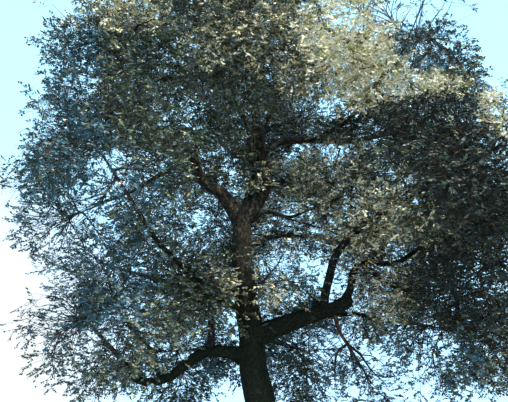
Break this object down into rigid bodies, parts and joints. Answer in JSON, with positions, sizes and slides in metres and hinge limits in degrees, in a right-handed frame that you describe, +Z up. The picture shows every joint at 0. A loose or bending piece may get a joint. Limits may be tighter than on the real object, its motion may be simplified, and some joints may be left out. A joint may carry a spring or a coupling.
{
  "type": "coast live oak tree",
  "caption": "Whole evergreen oak tree rooted in the ground: leaning trunk with root flare, high fork, spreading boughs, dead stub and a broad open crown of small leaves.",
  "frame": {"origin": "centre of the trunk's flat cut at ground level", "axes": "+Z up along the tree's height; -Y is the open side of the crown, where the trunk, its fork and the low boughs show; +X to the right seen from there"},
  "size_m": [12.7937, 12.4649, 13.7409],
  "materials": {
    "bark": "rough furrowed grey-brown bark, matte",
    "dead_wood": "weathered dead wood without bark, matte",
    "foliage": "small stiff evergreen leaves on fine twigs, dark green, slightly glossy above"
  },
  "bodies": {
    "root": {"bough_hanging": "bark", "bough_heart_left": "bark", "bough_heart_low": "bark", "bough_heart_right": "bark", "bough_high_back": "bark", "bough_high_left": "bark", "bough_high_right": "bark", "bough_left_fork": "bark", "bough_left_low": "bark", "bough_right_low": "bark", "bough_rising": "bark", "bough_skirt_back_left": "bark", "bough_skirt_back_right": "bark", "bough_skirt_front_right": "bark", "bough_skirt_right": "bark", "bough_upper_back_left": "bark", "bough_upper_back_right": "bark", "bough_upper_front": "bark", "bough_upper_front_left": "bark", "bough_upper_front_right": "bark", "bough_upper_left": "bark", "bough_upper_right": "bark", "bough_wing_back": "bark", "bough_wing_back_left": "bark", "bough_wing_back_right": "bark", "bough_wing_front_left": "bark", "bough_wing_left": "bark", "bough_wing_right": "bark", "dead_stub": "dead_wood", "foliage_crown_top": "foliage", "foliage_hanging": "foliage", "foliage_heart_front": "foliage", "foliage_heart_left": "foliage", "foliage_heart_low": "foliage", "foliage_heart_right": "foliage", "foliage_high_back": "foliage", "foliage_high_left": "foliage", "foliage_high_right": "foliage", "foliage_skirt_back_left": "foliage", "foliage_skirt_back_right": "foliage", "foliage_skirt_front_left": "foliage", "foliage_skirt_front_right": "foliage", "foliage_skirt_left": "foliage", "foliage_skirt_right": "foliage", "foliage_upper_back_left": "foliage", "foliage_upper_back_right": "foliage", "foliage_upper_front": "foliage", "foliage_upper_front_left": "foliage", "foliage_upper_front_right": "foliage", "foliage_upper_left": "foliage", "foliage_upper_right": "foliage", "foliage_wing_back": "foliage", "foliage_wing_back_left": "foliage", "foliage_wing_back_right": "foliage", "foliage_wing_front_left": "foliage", "foliage_wing_front_right": "foliage", "foliage_wing_left": "foliage", "foliage_wing_right": "foliage", "leader": "bark", "trunk": "bark"}
  },
  "joints": []
}
